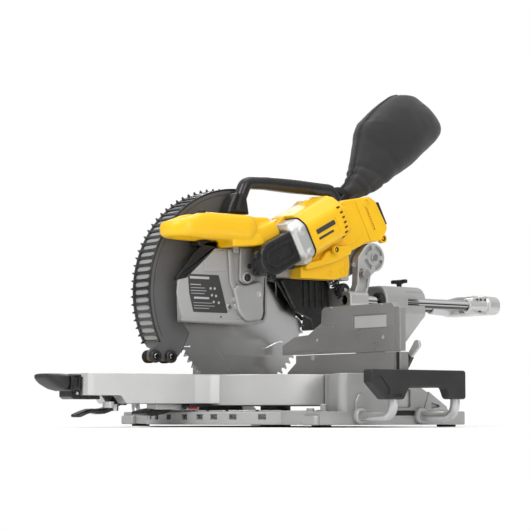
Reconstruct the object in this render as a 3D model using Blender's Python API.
"""Sliding compound mitre saw, 305 mm blade, dual rear rails, with side carry grips.

Frame: origin on the mitre pivot axis at the level of the rubber feet, +X to the
operator's right, +Y away from the operator (rear), +Z up. Lengths are in
millimetres and are turned into metres where a mesh is made.
The head is at the bottom of its stroke, fully back, mitre 0, bevel 0.

Outlines extruded along x hold (y, z), along y (x, z) and along z (x, y).
"""
import math

import bmesh
import bpy
from mathutils import Matrix, Vector

MM = 0.001
GAP = 0.3                       # running clearance between neighbouring pieces

# base and carry grips
BASE_HALF = 305.0
BASE_BOTTOM = 4
BASE_Z = 27.0                   # top of the low part of the base
TUBE_Y = (-52, 88)              # the two legs of each carry tube
TUBE_Z = 19
TUBE_X = 395                    # outer run of the carry tube
GRIP_HALF = 11.5

# turntable
TABLE_Z = 93.0
TABLE_R = 195.0
TABLE_ARM_Z = TABLE_Z - 0.4     # top of the arm and trunnion, just below the disc
PLATE_POCKET_HALF = 34          # pocket for the kerf plate
PLATE_POCKET_Y = (-349, 82)
PLATE_POCKET_Z = 90
LOCK_LEVER_HINGE = (-344, 45)   # y, z
BEVEL_AXIS = (0, TABLE_Z)       # x, z
BEVEL_BOLT_R = 10
BEVEL_BOSS_R = 45

# fences
FENCE_Y = -5.0                  # front face
FENCE_Z = TABLE_Z + 0.6         # underside
FENCE_END = 359                 # right fences' outer end
LEFT_FENCE_END = 262
FENCE_KNOB = (240, 114)         # x, z

# rails and carriage
RAILS = {"right": 58.0, "left": -48.0}
RAIL_Z = 237.0
RAIL_R = 9.5
RAIL_KNOB = (20, 288)           # x, y
RAIL_KNOB_R = 5
CHOP_PIVOT = (182.0, 319.0)     # y, z of the chop hinge
CHOP_PIN_R = 8
HEAD_LOCK = (156, 286)          # y, z

# head
BLADE_R = 152.5
TOOTH_COUNT = 36
TOOTH_DEPTH = 6
TOOTH_LEAN = 0.03               # radians from a tip to the root after it
ARBOR = (-83.3, 214.5)          # y, z of the blade axis
GUARD_CENTRE = (-107.0, 240.0)  # y, z of the lower guard's rim centre
GUARD_R = 194.0
GUARD_ROLLERS = {"front": (-289, 124), "rear": (-256, 124)}
CASE_X = 58                     # right face of the gear case
SPINDLE_LOCK = (-117, 268)      # y, z
MOTOR_TILT = math.radians(27.5)  # motor axis, up towards the back
MOTOR_ORIGIN = (0.0, 345.0)     # y, z
MOTOR_X = 78.0
MOTOR_OFFSET = 3.0              # motor axis above the line through the origin
HANDLE_X = 71.5                 # middle of the main handle's loop
HANDLE_BEND = 24.5
LOCK_OFF = (HANDLE_X + HANDLE_BEND, -236)  # x, y

# base colour, roughness, metallic
FINISHES = {
    "cast": ((0.48, 0.48, 0.48, 1), 0.42, 0.6),
    "table": ((0.62, 0.62, 0.62, 1), 0.35, 0.7),
    "yellow": ((0.95, 0.52, 0.01, 1), 0.35, 0.0),
    "black": ((0.02, 0.02, 0.02, 1), 0.45, 0.0),
    "guard": ((0.09, 0.09, 0.095, 1), 0.35, 0.0),
    "rubber": ((0.015, 0.015, 0.015, 1), 0.8, 0.0),
    "steel": ((0.55, 0.55, 0.56, 1), 0.25, 1.0),
    "chrome": ((0.8, 0.8, 0.8, 1), 0.08, 1.0),
    "red": ((0.7, 0.02, 0.02, 1), 0.4, 0.0),
    "cloth": ((0.04, 0.04, 0.04, 1), 0.9, 0.0),
    "copper": ((0.6, 0.3, 0.15, 1), 0.4, 1.0),
}

PIECES = []                     # (object, name of the body it moves with)


# ---------------------------------------------------------------- outlines
def arc(centre, radius, start, end, steps):
    """Points on a circle, angles in degrees."""
    angles = [math.radians(start + (end - start) * i / steps) for i in range(steps + 1)]
    return [(centre[0] + radius * math.cos(a), centre[1] + radius * math.sin(a))
            for a in angles]


def circle(centre, radius, count):
    angles = [2 * math.pi * i / count for i in range(count)]
    return [(centre[0] + radius * math.cos(a), centre[1] + radius * math.sin(a))
            for a in angles]


def rect(x0, x1, y0, y1):
    return [(x0, y0), (x1, y0), (x1, y1), (x0, y1)]


def squarish(power):
    """Twelve points of a unit circle pushed out towards a square."""
    angles = [2 * math.pi * i / 12 for i in range(12)]
    return [tuple(math.copysign(abs(w) ** power, w) for w in (math.cos(a), math.sin(a)))
            for a in angles]


def fillet(points, radii, steps=3):
    """Rounds the corners of an outline; radii is one radius or one for each corner."""
    out = []
    count = len(points)
    for i in range(count):
        before, corner, after = (Vector(points[(i + j) % count]) for j in (-1, 0, 1))
        wanted = radii[i] if isinstance(radii, (list, tuple)) else radii
        back, ahead = before - corner, after - corner
        if wanted <= 0 or back.length < 1e-6 or ahead.length < 1e-6:
            out.append(tuple(corner))
            continue
        angle = back.angle(ahead)
        if angle > math.pi - 0.05 or angle < 0.05:
            out.append(tuple(corner))
            continue
        trim = min(wanted / math.tan(angle / 2), 0.45 * back.length, 0.45 * ahead.length)
        radius = trim * math.tan(angle / 2)
        bisector = (back.normalized() + ahead.normalized()).normalized()
        centre = corner + bisector * (radius / math.sin(angle / 2))
        start = corner + back.normalized() * trim - centre
        end = corner + ahead.normalized() * trim - centre
        first = math.atan2(start.y, start.x)
        turn = math.atan2(start.x * end.y - start.y * end.x, start.dot(end))
        for j in range(steps + 1):
            a = first + turn * j / steps
            out.append((centre.x + radius * math.cos(a), centre.y + radius * math.sin(a)))
    return out


def belt_loop(centre1, radius1, centre2, radius2, steps):
    """Outline stretched round two circles."""
    line = Vector(centre2) - Vector(centre1)
    heading = math.degrees(math.atan2(line.y, line.x))
    wrap = math.degrees(math.acos((radius1 - radius2) / line.length))
    return (arc(centre1, radius1, heading + wrap, heading + 360 - wrap, steps)
            + arc(centre2, radius2, heading - wrap, heading + wrap, steps))


def bend(path, radius, steps):
    """Rounds the corners of a 3-D path."""
    out = [Vector(path[0])]
    for i in range(1, len(path) - 1):
        before, corner, after = Vector(path[i - 1]), Vector(path[i]), Vector(path[i + 1])
        back, ahead = before - corner, after - corner
        trim = min(radius / math.tan(back.angle(ahead) / 2),
                   back.length * 0.48, ahead.length * 0.48)
        start = corner + back.normalized() * trim
        end = corner + ahead.normalized() * trim
        for j in range(steps + 1):
            u = j / steps
            out.append((1 - u) ** 2 * start + 2 * u * (1 - u) * corner + u * u * end)
    out.append(Vector(path[-1]))
    return out


def span(side, inner, outer):
    """Ordered x range on one side; side is 1 for right, -1 for left."""
    return tuple(sorted((side * inner, side * outer)))


def motor_point(along, across):
    """(y, z) at a distance along the motor axis, up to the rear, and across it."""
    return (MOTOR_ORIGIN[0] + along * math.cos(MOTOR_TILT) - across * math.sin(MOTOR_TILT),
            MOTOR_ORIGIN[1] + along * math.sin(MOTOR_TILT) + across * math.cos(MOTOR_TILT))


def tilted(points):
    return [motor_point(along, across) for along, across in points]


IDLER = motor_point(-88, MOTOR_OFFSET)  # y, z of the intermediate shaft


# ---------------------------------------------------------------- solids
def add(bm):
    bmesh.ops.remove_doubles(bm, verts=bm.verts, dist=1e-6)
    bmesh.ops.recalc_face_normals(bm, faces=bm.faces)
    mesh = bpy.data.meshes.new("part")
    bm.to_mesh(mesh)
    bm.free()
    return link(mesh)


def link(mesh):
    obj = bpy.data.objects.new("part", mesh)
    bpy.context.scene.collection.objects.link(obj)
    return obj


def place(axis, point, height):
    """Scene coordinates of an outline point at a height along the axis."""
    a, b, h = point[0] * MM, point[1] * MM, height * MM
    return {"x": (h, a, b), "y": (a, h, b), "z": (a, b, h)}[axis]


def without_repeats(points, tolerance=0.02):
    def near(p, q):
        return math.hypot(p[0] - q[0], p[1] - q[1]) <= tolerance

    out = []
    for p in points:
        if not out or not near(p, out[-1]):
            out.append(p)
    while len(out) > 1 and near(out[0], out[-1]):
        out.pop()
    return out


def prism(points, axis, low, high):
    """A flat outline extruded along an axis."""
    bm = bmesh.new()
    face = bm.faces.new([bm.verts.new(place(axis, p, low)) for p in without_repeats(points)])
    made = bmesh.ops.extrude_face_region(bm, geom=[face])["geom"]
    bmesh.ops.translate(bm, vec=Vector(place(axis, (0, 0), high - low)),
                        verts=[v for v in made if isinstance(v, bmesh.types.BMVert)])
    return add(bm)


def cylinder(centre, axis, low, high, radius, count):
    return prism(circle(centre, radius, count), axis, low, high)


def box(x, y, z):
    return prism(rect(*x, *y), "z", *z)


def skin(rings, closed=False):
    """Joins rings of scene points, capping the ends unless closed into a loop."""
    bm = bmesh.new()
    loops = [[bm.verts.new(p) for p in ring] for ring in rings]
    count = len(rings[0])
    pairs = list(zip(loops, loops[1:])) + ([(loops[-1], loops[0])] if closed else [])
    for a, b in pairs:
        for i in range(count):
            bm.faces.new((a[i], a[(i + 1) % count], b[(i + 1) % count], b[i]))
    if not closed:
        bm.faces.new(loops[0])
        bm.faces.new(loops[-1])
    return add(bm)


def loft(rings, closed=False):
    """Joins rings of 3-D points (mm)."""
    return skin([[Vector(p) * MM for p in ring] for ring in rings], closed)


def lathe(profile, centre, axis, count):
    """profile is a list of (along axis, radius); both ends get a flat cap."""
    return skin([[place(axis, p, h) for p in circle(centre, radius, count)]
                 for h, radius in profile])


def sweep(path, radius, count):
    """A round bar along 3-D points."""
    path = [Vector(p) for p in path]
    rings = []
    up = None
    for i, point in enumerate(path):
        ahead = (path[min(i + 1, len(path) - 1)] - path[max(i - 1, 0)]).normalized()
        if up is None:
            up = Vector((0, 0, 1)) if abs(ahead.z) < 0.8 else Vector((1, 0, 0))
        side = ahead.cross(up).normalized()
        up = side.cross(ahead).normalized()
        angles = [2 * math.pi * j / count for j in range(count)]
        rings.append([point + side * radius * math.cos(a) + up * radius * math.sin(a)
                      for a in angles])
    return loft(rings)


def motor_loft(stations):
    """Sections across the motor axis: each is (along, [(x, across), ...])."""
    return loft([[(x, *motor_point(along, across)) for x, across in section]
                 for along, section in stations])


def motor_lathe(profile, count):
    """Turned about the motor axis; profile is a list of (along, radius)."""
    return motor_loft([(along, circle((MOTOR_X, MOTOR_OFFSET), radius, count))
                       for along, radius in profile])


def mirror_x(obj):
    mesh = obj.data.copy()
    mesh.transform(Matrix.Scale(-1, 4, (1, 0, 0)))
    mesh.flip_normals()
    return link(mesh)


def combine(obj, others, operation):
    """Applies exact booleans one after another and removes the tools."""
    for other in others:
        modifier = obj.modifiers.new("boolean", "BOOLEAN")
        modifier.solver = "EXACT"
        modifier.operation = operation
        modifier.object = other
        depsgraph = bpy.context.evaluated_depsgraph_get()
        result = bpy.data.meshes.new_from_object(obj.evaluated_get(depsgraph))
        old, tool = obj.data, other.data
        obj.modifiers.clear()
        obj.data = result
        bpy.data.meshes.remove(old)
        bpy.data.objects.remove(other, do_unlink=True)
        bpy.data.meshes.remove(tool)
    return obj


def union(obj, *others):
    return combine(obj, others, "UNION")


def cut(obj, *others):
    return combine(obj, others, "DIFFERENCE")


def make_material(name, finish_name):
    colour, roughness, metallic = FINISHES[finish_name]
    material = bpy.data.materials.new(name + "_mat")
    material.use_nodes = True
    shader = material.node_tree.nodes["Principled BSDF"]
    shader.inputs["Base Color"].default_value = colour
    shader.inputs["Roughness"].default_value = roughness
    shader.inputs["Metallic"].default_value = metallic
    material.diffuse_color = colour
    return material


def finish(obj, name, finish_name, body=None):
    """Names, colours and shades a piece; without a body it moves on its own joint."""
    obj.name = name
    obj.data.name = name
    obj.data.materials.clear()
    obj.data.materials.append(make_material(name, finish_name))
    for polygon in obj.data.polygons:
        polygon.use_smooth = True
    obj.data.set_sharp_from_angle(angle=math.radians(35))
    PIECES.append((obj, body or name + "_body"))


# ---------------------------------------------------------------- base
def right_wing():
    """Table surface, sloped gusset at the outer end, and a block behind."""
    plan = fillet([(170, -38), (206, -38), (BASE_HALF, -96), (BASE_HALF, 49), (170, 49)],
                  [0, 0, 9, 0, 0], 4)
    gusset = [(20, 5), (20, TABLE_Z), (49, TABLE_Z), (151, 36), (157, BASE_Z),
              (180, BASE_Z), (180, 5)]
    return union(prism(plan, "z", 20, TABLE_Z),
                 prism(gusset, "x", 266, BASE_HALF),
                 box((150, 300), (40, 62), (20, 86)))


def base_casting():
    plan = [(-BASE_HALF, -138), (-256, -138), *arc((0, 0), 240, -144.9, -35.1, 14),
            (256, -138), (BASE_HALF, -138), (BASE_HALF, 194), (252, 194), (236, 158),
            (-236, 158), (-252, 194), (-BASE_HALF, 194)]
    wing = right_wing()
    base = union(prism(plan, "z", BASE_BOTTOM, BASE_Z), wing, mirror_x(wing_copy(wing)))
    return base


def wing_copy(wing):
    return wing


def build_base_casting():
    plan = [(-BASE_HALF, -138), (-256, -138), *arc((0, 0), 240, -144.9, -35.1, 14),
            (256, -138), (BASE_HALF, -138), (BASE_HALF, 194), (252, 194), (236, 158),
            (-236, 158), (-252, 194), (-BASE_HALF, 194)]
    wing = right_wing()
    left_wing = mirror_x(wing)
    base = union(prism(plan, "z", BASE_BOTTOM, BASE_Z), wing, left_wing)
    # room for the turntable, and a disc under it
    cut(base, cylinder((0, 0), "z", BASE_Z + 3, 120, TABLE_R + 2.5, 48))
    union(base, cylinder((0, 0), "z", BASE_Z - 4, BASE_Z + 2, 202, 48))
    # underside pockets between ribs, then one under each wing
    for side in (-1, 1):
        for y in ((-128, -6), (6, 148)):
            cut(base, box(span(side, 40, 176), y, (-5, 20)))
        cut(base, box(span(side, 214, 296), (-26, 42), (-5, 86)))
    union(base, cylinder((0, 0), "z", 0, 48.5, 28, 24))
    # carry tube sockets
    sockets = [(y, side) for y in TUBE_Y for side in (-1, 1)]
    for y, side in sockets:
        union(base, cylinder((y, TUBE_Z), "x", *span(side, 292, 313), 14.5, 16))
    for y, side in sockets:
        cut(base, cylinder((y, TUBE_Z), "x", *span(side, 284, 330), 8.8, 16))
    finish(base, "base_casting", "cast", "base")


def build_base_fittings():
    for end, y in (("front", -115), ("rear", 172)):
        for side, x in (("left", -280), ("right", 280)):
            finish(cylinder((x, y), "z", 0, BASE_BOTTOM - GAP, 17, 16),
                   f"foot_pad_{end}_{side}", "rubber", "base")
    sector = arc((0, 0), 236, -145, -35, 14) + arc((0, 0), 206, -35, -145, 14)
    finish(prism(sector, "z", BASE_Z + GAP, BASE_Z + 2.5), "miter_scale_plate", "steel", "base")


def build_carry_grips():
    grip_outline = [(-109, 97), (-109, 75), (-78, 47), (-37, 47), (-25, 68), (59, 69),
                    (68, 48), (104, 48), (104, 97)]
    front, rear = TUBE_Y
    top = 82
    path = bend([(287, front, TUBE_Z), (TUBE_X, front, TUBE_Z), (TUBE_X, front, top),
                 (TUBE_X, rear, top), (TUBE_X, rear, TUBE_Z), (287, rear, TUBE_Z)], 22, 3)
    for side, name in ((1, "right"), (-1, "left")):
        side_path = [(side * x, y, z) for x, y, z in path]
        grip = prism(fillet(grip_outline, [4, 4, 6, 6, 6, 6, 5, 5, 4], 1), "x",
                     *span(side, TUBE_X - GRIP_HALF, TUBE_X + GRIP_HALF))
        cut(grip, sweep(side_path, 9.1, 8))
        finish(grip, name + "_carry_grip", "black", "base")
        finish(sweep(side_path, 8.3, 8), name + "_carry_tube", "steel", "base")


# ---------------------------------------------------------------- fences
def build_lower_fences():
    """The left fence is the right one mirrored and cut short."""
    outline = [(43, FENCE_Z), (FENCE_END, FENCE_Z), (FENCE_END, 129.6), (68, 129.6),
               (68, 116), (43, 99)]
    right = union(prism(outline, "y", FENCE_Y, 14),
                  prism(rect(212, 300, FENCE_Z, 100), "y", 10, 36))
    cut(right, cylinder(FENCE_KNOB, "y", 4, 20, 4.3, 12))
    left = cut(mirror_x(right), box((-400, -LEFT_FENCE_END), (-30, 60), (80, 150)))
    finish(right, "right_lower_fence", "cast", "base")
    finish(left, "left_lower_fence", "cast", "base")


def upper_fence(side, end):
    outline = [(27, 131), (27, 149), (63, 164), (104, 166), (142, 186), (144, 209),
               (152, 214.7), (end - 20, 214.7), (end - 14, 208), (end, 207), (end, 131)]
    return prism([(side * x, z) for x, z in outline], "y", FENCE_Y, 8)


def build_upper_fences():
    # the right one has a shallow rectangular recess in its front face
    right = cut(upper_fence(1, FENCE_END),
                box((233, 325), (-10, FENCE_Y + 1.5), (171, 197)))
    finish(right, "right_upper_fence", "cast", "right_fence")
    finish(upper_fence(-1, LEFT_FENCE_END), "left_upper_fence", "cast", "left_fence")


def build_fence_knobs():
    profile = [(5, 3.9), (14.5, 3.9), (14.5, 8), (22, 8), (22, 12.5), (36, 12), (38, 10)]
    x, z = FENCE_KNOB
    for side, name in ((1, "right"), (-1, "left")):
        finish(lathe(profile, (side * x, z), "y", 16), name + "_fence_knob", "black")


# ---------------------------------------------------------------- turntable
def table_arm():
    """Front arm with a notch in the end of it."""
    plan = [(-75, -150), (-75, -178), (-37, -428), (-32, -438), (32, -438), (37, -428),
            (75, -178), (75, -150)]
    notch = [(-480, 30), (-372, 30), (-360, 41), (-372, 55), (-480, 55)]
    return cut(prism(plan, "z", 41, TABLE_ARM_Z), prism(notch, "x", -90, 90))


def build_turntable():
    table = union(cylinder((0, 0), "z", 38, TABLE_Z, TABLE_R, 48),
                  table_arm(),
                  box((-50, 50), (170, 226), (45, TABLE_ARM_Z)),
                  cylinder(BEVEL_AXIS, "y", 206, 228.5, BEVEL_BOSS_R, 28))
    # hollow underside either side of the blade trench, in the disc and in the arm
    disc_hollow = [(38, -182), (60, -178), *arc((0, 0), 187, -71, 71, 16), (38, 160)]
    arm_hollow = [(38, -186), (58, -186), (44, -330), (38, -340)]
    for side in (-1, 1):
        for hollow in (disc_hollow, arm_hollow):
            cut(table, prism([(side * x, y) for x, y in hollow], "z", 30, 85))
    cut(table, box((-32, 32), (-330, 75), (30, 50)))
    union(table, cylinder((0, 0), "z", 49.2, 57, 30, 24))
    cut(table,
        box((-30, 30), (-345, 78), (56, 120)),
        box((-PLATE_POCKET_HALF, PLATE_POCKET_HALF), PLATE_POCKET_Y, (PLATE_POCKET_Z, 120)),
        cylinder(BEVEL_AXIS, "y", 150, 240, BEVEL_BOLT_R + GAP, 20),
        box((-19, 19), (-376, -331.5), (25, 56.5)))
    finish(table, "turntable", "table", "turntable")


def build_kerf_plate():
    half = PLATE_POCKET_HALF - GAP
    front, rear = PLATE_POCKET_Y
    plate = box((-half, half), (front + GAP, rear - GAP),
                (PLATE_POCKET_Z + GAP, TABLE_Z - GAP))
    cut(plate, box((-3.5, 6.0), (-341, 34), (80, 100)))
    finish(plate, "kerf_plate", "yellow", "turntable")


def build_miter_grip():
    housing = union(box((-30, 30), (-461, -438.5), (60, 91)),
                    box((-20, 20), (-455, -396), (48, 54.5)),
                    box((-20, 20), (-455, -442), (50, 64)))
    finish(housing, "miter_lock_housing", "black", "turntable")
    # y, bottom z, top z, half width
    stations = [(-461.5, 66, 91, 26), (-466, 62, 92, 30), (-480, 65, 92, 33),
                (-494, 73, 92, 31), (-505, 83, 91, 24)]
    rings = [[(width * across, y, (low + high) / 2 + (high - low) / 2 * upward)
              for across, upward in squarish(0.6)] for y, low, high, width in stations]
    finish(loft(rings), "miter_grip", "black", "turntable")


def build_turntable_fittings():
    pointer = [(-226, 31), (-226, 40.5), (-208, 40.5), (-208, 37), (-218, 31)]
    finish(prism(pointer, "x", -26, -12), "miter_pointer", "red", "turntable")
    finish(cylinder(BEVEL_AXIS, "y", 152, 288, BEVEL_BOLT_R, 20),
           "bevel_pivot_bolt", "steel", "turntable")


def build_miter_levers():
    # y, z, half thickness
    stations = [(-437, 20, 3), (-426, 22, 4.5), (-410, 28, 4.5), (-392, 27, 5),
                (-372, 30, 5), (-352, 40, 5), (-342, 45, 6)]
    rings = [[(x, y, z + rise) for x, rise in rect(-15, 15, -half, half)]
             for y, z, half in stations]
    lever = union(loft(rings), cylinder(LOCK_LEVER_HINGE, "x", -18.6, 18.6, 7, 16))
    finish(lever, "miter_lock_lever", "black")
    detent = [(-302, 24), (-302, 30), (-268, 33), (-262, 38.5), (-246, 38.5), (-246, 30),
              (-262, 24)]
    finish(prism(detent, "x", -24, 24), "miter_detent_lever", "black")


# ---------------------------------------------------------------- bevel arm and rails
def rail_bores(low, high, clearance):
    return [cylinder((x, RAIL_Z), "y", low, high, RAIL_R + clearance, 16)
            for x in RAILS.values()]


def build_turret_housing():
    top = prism(fillet(rect(-72, 76, 206, 268), [10, 10, 22, 22], 4), "y", 207, 308)
    # z, then x and y limits
    stations = [(60, -40, 40, 233.5, 268), (100, -42, 42, 233.5, 268),
                (148, -46, 46, 230, 270), (208, -68, 72, 209, 306), (214, -68, 72, 209, 306)]
    post = loft([[(x, y, z) for x, y in rect(*limits)] for z, *limits in stations])
    turret = union(top, post, cylinder(BEVEL_AXIS, "y", 229.2, 271, BEVEL_BOSS_R, 28))
    cut(turret, *rail_bores(190, 320, 0.4),
        cylinder(BEVEL_AXIS, "y", 220, 290, BEVEL_BOLT_R + GAP, 20),
        cylinder(RAIL_KNOB, "z", 255, 290, RAIL_KNOB_R + GAP, 12))
    finish(turret, "turret_housing", "cast", "bevel_arm")


def build_rails():
    for side, x in RAILS.items():
        centre = (x, RAIL_Z)
        bushing = cut(cylinder(centre, "y", 197, 206.7, 16.5, 20),
                      cylinder(centre, "y", 190, 210, RAIL_R + 0.4, 16))
        finish(bushing, "rail_bushing_" + side, "black", "bevel_arm")
        finish(cylinder(centre, "y", 121, 496, RAIL_R, 16), "rail_" + side, "chrome", "carriage")


def build_bevel_lock_lever():
    """A hub with a bar that points up to the right."""
    along = Vector((1, 1.02)).normalized()
    across = Vector((-along.y, along.x))
    # along and across the bar, from the hub's axis
    outline = [(6, -9), (58, -9), (66, -6), (94, -9), (97, 0), (92, 9), (66, 6), (58, 9), (6, 9)]
    bar = [tuple(Vector(BEVEL_AXIS) + along * a + across * b) for a, b in outline]
    lever = union(cylinder(BEVEL_AXIS, "y", 289, 303, 17, 16), prism(bar, "y", 292, 301))
    finish(lever, "bevel_lock_lever", "black")


def build_rail_lock_knob():
    stem = lathe([(258, RAIL_KNOB_R), (275.5, RAIL_KNOB_R), (275.5, 8), (277, 8)],
                 RAIL_KNOB, "z", 12)
    tab = prism(fillet(rect(-2, 42, 283, 293), 4, 3), "z", 276, 284)
    finish(union(stem, tab), "rail_lock_knob", "black")


# ---------------------------------------------------------------- carriage
def build_rail_end_cap():
    outline = [(-68, 220), (78, 220), (78, 254), (30, 260), (-20, 260), (-68, 254)]
    cap = prism(fillet(outline, [15, 15, 15, 10, 10, 15], 4), "y", 474, 506)
    cut(cap, prism([(-20, 226), (28, 226), (4, 244)], "y", 465, 515),
        *rail_bores(470, 497, GAP))
    finish(cap, "rail_end_cap", "cast", "carriage")


def build_carriage_yoke():
    ear = [(128, 224), (128, 233), (144, 267), (146, 318), *arc(CHOP_PIVOT, 28, 150, -60, 12),
           (186, 292), (176, 284), (172, 265), (163, 238), (163, 224)]
    yoke = prism(fillet(rect(-67, 77, 222, 253), 8, 3), "y", 118, 164)
    union(yoke, prism(ear, "x", 50, 68), prism(ear, "x", -68, -50))
    cut(yoke, *rail_bores(110, 170, GAP),
        cylinder(CHOP_PIVOT, "x", -90, 90, CHOP_PIN_R + GAP, 16),
        cylinder(HEAD_LOCK, "x", 30, 90, 4.3, 12))
    finish(yoke, "carriage_yoke", "cast", "carriage")


def build_carriage_pins():
    pivot = [(-76, 11), (-69.5, 11), (-69.5, CHOP_PIN_R), (74, CHOP_PIN_R)]
    finish(lathe(pivot, CHOP_PIVOT, "x", 16), "chop_pivot_pin", "steel", "carriage")
    lock = [(46.5, 4), (69, 4), (69, 9), (80, 8.5)]
    finish(lathe(lock, HEAD_LOCK, "x", 12), "head_lock_pin", "steel")


# ---------------------------------------------------------------- head
# edges shared by the gear case and its cover
CASE_TOP = [(-264, 236), (-262, 259), (-243, 263), (-182, 318), (-112, 322.6), (-98, 328),
            (-40, 328)]
CASE_BOTTOM = [(-104, 183), (-124, 184), (-251, 186), (-260, 212)]


def build_gear_case():
    outline = CASE_TOP + [(-34, 295), (112, 295), (126, 300), (126, 274), (-58, 274),
                          (-58, 203), (-66, 189), (-84, 185)] + CASE_BOTTOM
    case = prism(outline, "x", 28.6, CASE_X)
    rear_corner = [(46, -50), (70, -50), (70, -83), (57.5, -77)]
    wide_hollow = [(-242, 236), (-241, 253), (-232, 257), (-178, 312), (-46, 319),
                   (-46, 281), (-80, 281), (-83, 204), (-90, 193), (-124, 191), (-236, 193),
                   (-241, 213)]
    deep_hollow = [(-226, 236), (-225, 252), (-218, 258), (-178, 308), (-104, 316),
                   (-94, 322.5), (-58, 322.5), (-58, 281), (-63, 274), (-63, 205),
                   (-69, 194), (-90, 189.5), (-124, 190), (-220, 193), (-226, 213)]
    cut(case, prism(rear_corner, "z", 150, 273.4),
        prism(wide_hollow, "x", 48, 70),
        prism(deep_hollow, "x", 33, 49))
    # cross block, arm and hub that reach the chop hinge
    hinge_arm = [(110, 274), (110, 312), (150, 336), (176, 343), (190, 300), (160, 292),
                 (126, 274)]
    union(case, box((-43, 61), (108, 127), (273, 312)),
          prism(hinge_arm, "x", -43, 43),
          cylinder(CHOP_PIVOT, "x", -44, 44, 25, 20))
    front_corner = [(20, -300), (20, -234), (58.5, -263), (58.5, -300)]
    cut(case, prism(front_corner, "z", 150, 340),
        cylinder(CHOP_PIVOT, "x", -60, 60, CHOP_PIN_R + GAP, 16),
        cylinder(ARBOR, "x", 20, 40, 12.6, 20))
    finish(case, "gear_case", "cast", "head")


def build_gear_cover():
    outline = CASE_TOP + [(-40, 295), (-40, 275), (-72, 275), (-76, 200),
                          (-84, 187)] + CASE_BOTTOM
    lobe = [(-150, 236), (-136, 262), (-108, 270), (-80, 262), (-80, 205), (-104, 190),
            (-124, 205)]
    cover = union(prism(outline, "x", CASE_X + GAP, 62), prism(fillet(lobe, 9, 3), "x", 60, 70))
    cut(cover, cylinder(IDLER, "x", 50, 80, 7, 16), cylinder(SPINDLE_LOCK, "x", 50, 80, 6.4, 16))
    finish(cover, "gear_cover", "cast", "head")


def build_upper_guard():
    """A shell round the top of the blade, carried on two round bosses."""
    outline = (arc(ARBOR, 162, 193, 2, 20)
               + [(72, 210), (30, 213), (-10, 266), (-58, 272), (-60, 214)]
               + arc(ARBOR, 22, -20, -170, 8) + [(-150, 192), (-225, 189)])
    hollow = arc(ARBOR, 158, 199, -6, 20) + [(72, 190), (-83, 120)]
    guard = union(prism(outline, "x", -19, 19),
                  cylinder(ARBOR, "x", 18, 28.2, 20, 24),
                  cylinder(ARBOR, "x", -28, -18, 20, 24))
    cut(guard, prism(hollow, "x", -15.5, 15.5),
        cylinder(ARBOR, "x", 10, 35, 14, 24),
        cylinder(ARBOR, "x", -35, -10, 13, 24))
    finish(guard, "upper_guard", "black", "head")


def build_lower_guard():
    """Two side plates joined by a rim, turning on the bosses, with a lug for two rollers."""
    outline = (arc(GUARD_CENTRE, GUARD_R, 211, 86, 20) + [(-95, 385), (-66, 300), (-62, 262)]
               + arc(ARBOR, 28, 20, -160, 12)
               + [(-150, 193), (-230, 188), (-214, 169), (-232, 131)])
    hollow = arc(GUARD_CENTRE, GUARD_R - 4, 222, 70, 22) + [(60, 210), (-83, 110), (-232, 110)]
    lug = [(-280, 150), (-301, 132), (-301, 116), (-246, 116), (-232, 131), (-225, 146)]
    guard = cut(prism(outline, "x", -27, 27),
                prism(hollow, "x", -24.5, 24.5),
                cylinder(ARBOR, "x", -40, 40, 21, 24))
    union(guard, prism(fillet(lug, 5, 2), "x", 20, 27))
    cut(guard, *[cylinder(c, "x", 0, 40, 3.3, 12) for c in GUARD_ROLLERS.values()])
    finish(guard, "lower_guard", "guard", "lower_guard")


def build_guard_rollers():
    profile = [(2, 10), (4, 11.5), (17, 11.5), (19.5, 10), (19.5, 3), (31, 3), (31, 7), (34, 7)]
    for end, centre in GUARD_ROLLERS.items():
        finish(lathe(profile, centre, "x", 12), "guard_roller_" + end, "rubber")


def build_blade():
    outline = []
    for i in range(TOOTH_COUNT):
        tip = 2 * math.pi * i / TOOTH_COUNT
        for radius, angle in ((BLADE_R, tip), (BLADE_R - TOOTH_DEPTH, tip + TOOTH_LEAN)):
            outline.append((ARBOR[0] + radius * math.cos(angle),
                            ARBOR[1] + radius * math.sin(angle)))
    blade = cut(prism(outline, "x", -1.3, 1.3), cylinder(ARBOR, "x", -5, 5, 8.5, 20))
    finish(blade, "saw_blade", "steel", "blade")
    shaft = [(-1.4, 8), (1.7, 8), (1.7, 26), (8, 26), (8, 12), (34.5, 12), (34.5, 16),
             (46, 16), (46, 8), (47, 8)]
    finish(lathe(shaft, ARBOR, "x", 16), "arbor_shaft", "steel", "blade")
    bolt = [(-17, 8), (-16, 9.5), (-8, 9.5), (-8, 26), (-1.8, 26)]
    finish(lathe(bolt, ARBOR, "x", 16), "blade_bolt", "steel", "blade")


def build_drive():
    belt = cut(prism(belt_loop(ARBOR, 19.6, IDLER, 13.6, 12), "x", 35.5, 45),
               prism(belt_loop(ARBOR, 16.6, IDLER, 10.6, 12), "x", 30, 60))
    finish(belt, "drive_belt", "rubber", "head")
    shaft = [(33.5, 6), (34.5, 10), (46, 10), (46, 6), (88, 6), (88, 20), (91, 22), (94, 22)]
    finish(lathe(shaft, IDLER, "x", 14), "intermediate_shaft", "steel")


# ---------------------------------------------------------------- motor
def build_motor_core():
    rotor = [(-76, 9.5), (-66, 9.5), (-66, 5), (-20, 5), (2, 5), (2, 19), (72, 19), (72, 5),
             (90, 5)]
    finish(motor_lathe(rotor, 14), "motor_rotor", "steel", "rotor")
    stator = cut(motor_lathe([(4, 33.5), (70, 33.5)], 24), motor_lathe([(0, 20), (80, 20)], 24))
    finish(stator, "motor_stator", "copper", "head")


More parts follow.
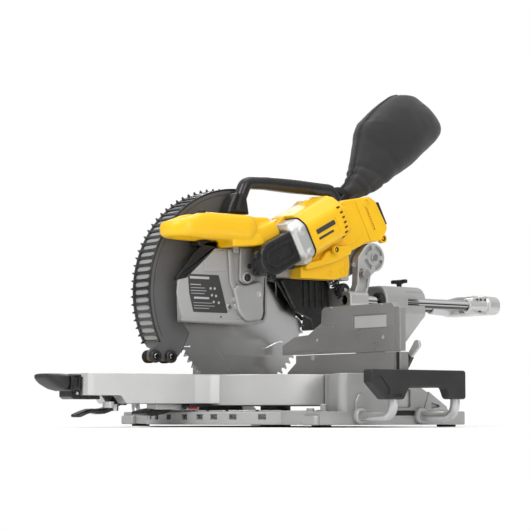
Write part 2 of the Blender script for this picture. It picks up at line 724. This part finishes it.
def build_motor_housing():
    # sections across the axis: x, across
    radii = [8, 8, 8, 8, 12, 8, 8]
    main = fillet([(30, -36), (104, -36), (120, -22), (120, 26), (98, 48), (40, 50),
                   (30, 40)], radii, 3)
    rear = fillet([(30, -34), (100, -34), (114, -22), (114, 22), (94, 42), (40, 44),
                   (30, 36)], radii, 3)
    lower_block = [(-10, 271), (70, 271), (102, 279), (106, 300), (100, 343), (60, 345),
                   (24, 330), (12, 316), (7.5, 303), (-10, 290)]
    housing = union(motor_loft([(-12, main), (76, main), (92, rear)]),
                    prism(lower_block, "x", 58.4, 90))
    cut(housing, motor_lathe([(-20, 36), (74, 36)], 28), motor_lathe([(60, 7), (100, 7)], 16))
    finish(housing, "motor_housing", "yellow", "head")


def build_motor_collar():
    radii = [4, 8, 8, 8, 10, 4]
    main = fillet([(62.5, -34), (108, -34), (122, -22), (122, 28), (108, 42), (62.5, 42)],
                  radii, 3)
    front = fillet([(62.5, -28), (104, -28), (117, -18), (117, 26), (104, 37), (62.5, 37)],
                   radii, 3)
    collar = cut(motor_loft([(-44, front), (-38, main), (-12.4, main)]),
                 motor_lathe([(-50, 8), (-5, 8)], 16))
    finish(collar, "motor_collar", "cast", "head")


def nose_outline(rear, low, high, radius):
    """Straight rear edge and a round front, in the motor's frame."""
    return tilted([(rear, low), (rear, high)] + arc((-102, 4), radius, 90, 270, 12))


def build_motor_nose_cap():
    nose = cut(prism(nose_outline(-44.4, -25, 32, 29), "x", 62.5, 117),
               prism(nose_outline(-49, -21, 28, 24.5), "x", 55, 112),
               motor_lathe([(-60, 7), (-40, 7)], 16))
    finish(nose, "motor_nose_cap", "black", "head")


def build_battery_mount():
    # along and across the motor axis
    outline = tilted([(92.4, -74), (92.4, 14), (134, 18), (198, -3), (208, -16), (211, -72),
                      (188, -88), (146, -76)])
    mount = prism(fillet(outline, [4, 4, 6, 6, 6, 6, 8, 4], 2), "x", 30, 68)
    finish(mount, "battery_mount", "yellow", "head")


# ---------------------------------------------------------------- handles
def handle_loop():
    """Closed loop lying flat beside the guard, lower and thinner at its front end."""
    right, left = HANDLE_X + HANDLE_BEND, HANDLE_X - HANDLE_BEND
    path = (arc((HANDLE_X, -262), HANDLE_BEND, 180, 360, 8)
            + [(right, y) for y in (-235, -205, -175)]
            + arc((HANDLE_X, -145), HANDLE_BEND, 0, 180, 8)
            + [(left, y) for y in (-175, -205, -235)])
    rings = []
    for i, (x, y) in enumerate(path):
        before, after = path[i - 1], path[(i + 1) % len(path)]
        ahead = Vector((after[0] - before[0], after[1] - before[1])).normalized()
        side = Vector((-ahead.y, ahead.x))
        rise = 8 * min(1.0, max(0.0, (y + 290) / 60))
        rings.append([(x + side.x * (14.5 * across), y + side.y * (14.5 * across),
                       346 + rise + (16 + rise) * upward)
                      for across, upward in squarish(0.8)])
    return loft(rings, closed=True)


def build_main_handle():
    front_block = [(-172, 319.4), (-172, 345), (-114, 345), (-114, 322.9)]
    rear_block = [(-158, 331.5), (-158, 372), (-80, 377), (-34.4, 383.2), (-11.6, 339.4),
                  (-45, 331.5)]
    handle = union(handle_loop(),
                   prism(front_block, "x", 34, 57.5),
                   prism(rear_block, "x", 33, 60))
    cut(handle, box((81, 93), (-212, -168), (344, 364)),
        cylinder(LOCK_OFF, "z", 362, 390, 7.5, 12))
    finish(handle, "main_handle", "yellow", "head")


def build_controls():
    trigger = [(72.5, -210), (78, -210), (86, -208), (86, -172), (78, -170), (72.5, -172),
               (75, -190)]
    finish(prism(fillet(trigger, 1.5, 2), "z", 345.5, 362.5), "trigger", "black")
    finish(cylinder(LOCK_OFF, "z", 365.5, 381, 7, 12), "lock_off_button", "black")
    finish(lathe([(59, 6), (72, 6), (74, 5)], SPINDLE_LOCK, "x", 12),
           "spindle_lock_button", "black")


def build_carry_handle():
    path = bend([(46, -129, 384), (46, -104, 443.5), (46, -60, 445.5), (46, 93, 443),
                 (46, 107, 425)], 18, 4)
    foot = [(-151, 383.5), (-148, 396), (-134, 424), (-112, 416), (-104, 383.5)]
    finish(union(sweep(path, 13.5, 12), prism(foot, "x", 33, 59)),
           "carry_handle", "black", "head")


# ---------------------------------------------------------------- dust collection
def build_dust_duct():
    outline = [(81.5, 206), (76, 176), (108, 196), (106, 330), (124, 372), (166, 425),
               (150, 443), (104, 392), (76, 336), (85, 290)]
    hollow = [(88, 150), (103, 150), (101, 331), (120, 375), (170, 432), (160, 455),
              (107, 387), (82, 336), (90, 290)]
    duct = cut(prism(outline, "x", -22, 22), prism(hollow, "x", -18, 18))
    finish(duct, "dust_duct", "black", "head")


def build_dust_bag():
    # front edge (y, z), rear edge (y, z), half width
    stations = [
        ((147, 452), (169, 434), 16), ((172, 468), (226, 446), 28),
        ((183, 487), (269, 476), 40), ((194, 529), (325, 512), 50),
        ((198, 564), (385, 560), 55), ((223, 598), (401, 587), 53),
        ((262, 626), (378, 614), 42), ((292, 647), (350, 634), 26),
        ((308, 655), (332, 650), 10),
    ]
    rings = [[(width * across, (y0 + y1) / 2 + (y1 - y0) / 2 * along,
               (z0 + z1) / 2 + (z1 - z0) / 2 * along)
              for along, across in squarish(0.85)] for (y0, z0), (y1, z1), width in stations]
    finish(loft(rings), "dust_bag", "cloth", "head")


# ---------------------------------------------------------------- joints
JOINTS = {
    "base": (0, 0, 0),
    "right_fence": (190, 0, 170),
    "left_fence": (-190, 0, 170),
    "right_fence_knob_body": (FENCE_KNOB[0], 20, FENCE_KNOB[1]),
    "left_fence_knob_body": (-FENCE_KNOB[0], 20, FENCE_KNOB[1]),
    "turntable": (0, 0, TABLE_Z),
    "miter_lock_lever_body": (0, *LOCK_LEVER_HINGE),
    "miter_detent_lever_body": (0, -252, 34),
    "bevel_arm": (0, 232, TABLE_Z),
    "bevel_lock_lever_body": (0, 296, TABLE_Z),
    "rail_lock_knob_body": (*RAIL_KNOB, 270),
    "carriage": (5, 140, RAIL_Z),
    "head_lock_pin_body": (60, *HEAD_LOCK),
    "head": (0, *CHOP_PIVOT),
    "lower_guard": (0, *ARBOR),
    "blade": (0, *ARBOR),
    "guard_roller_front_body": (10, *GUARD_ROLLERS["front"]),
    "guard_roller_rear_body": (10, *GUARD_ROLLERS["rear"]),
    "intermediate_shaft_body": (60, *IDLER),
    "rotor": (MOTOR_X, *motor_point(30, MOTOR_OFFSET)),
    "trigger_body": (79, -190, 354),
    "lock_off_button_body": (*LOCK_OFF, 371),
    "spindle_lock_button_body": (66, *SPINDLE_LOCK),
}


def attach_to_joints():
    """Makes an empty at each joint and parents the pieces without moving them."""
    empties = {}
    for body, position in JOINTS.items():
        empty = bpy.data.objects.new("joint_" + body, None)
        empty.empty_display_size = 0.02
        empty.location = Vector(position) * MM
        bpy.context.scene.collection.objects.link(empty)
        empties[body] = empty
    bpy.context.view_layer.update()
    for obj, body in PIECES:
        obj.parent = empties[body]
        obj.matrix_parent_inverse = empties[body].matrix_world.inverted()


for old_object in list(bpy.data.objects):
    bpy.data.objects.remove(old_object, do_unlink=True)

del base_casting, wing_copy

for build in (
    build_base_casting, build_base_fittings, build_carry_grips,
    build_lower_fences, build_upper_fences, build_fence_knobs,
    build_turntable, build_kerf_plate, build_miter_grip,
    build_turntable_fittings, build_miter_levers,
    build_turret_housing, build_rails, build_bevel_lock_lever, build_rail_lock_knob,
    build_rail_end_cap, build_carriage_yoke, build_carriage_pins,
    build_gear_case, build_gear_cover, build_upper_guard, build_lower_guard,
    build_guard_rollers, build_blade, build_drive,
    build_motor_core, build_motor_housing, build_motor_collar, build_motor_nose_cap,
    build_battery_mount, build_main_handle, build_controls, build_carry_handle,
    build_dust_duct, build_dust_bag,
):
    build()
attach_to_joints()
